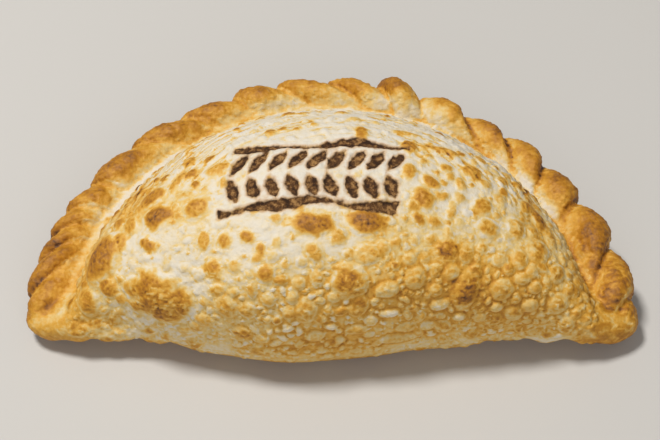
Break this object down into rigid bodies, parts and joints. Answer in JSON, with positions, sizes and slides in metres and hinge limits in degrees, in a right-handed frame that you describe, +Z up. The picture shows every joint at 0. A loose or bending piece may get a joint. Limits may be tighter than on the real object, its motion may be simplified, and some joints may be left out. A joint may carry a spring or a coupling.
{
  "type": "beef empanada",
  "caption": "Baked half-moon hand pie with a domed, blistered crust, a folded front and a rope-crimped edge round the back.",
  "frame": {"origin": "on the surface it rests on, under the middle of its length and depth", "axes": "+X from the left tip to the right tip, +Y from the folded front to the crimped back, +Z up"},
  "size_m": [0.14, 0.078, 0.04],
  "materials": {
    "crust": "matte baked dough, pale cream on top, golden to brown on the blisters and along the crimped edge"
  },
  "bodies": {
    "root": {"empanada": "crust"}
  },
  "joints": []
}
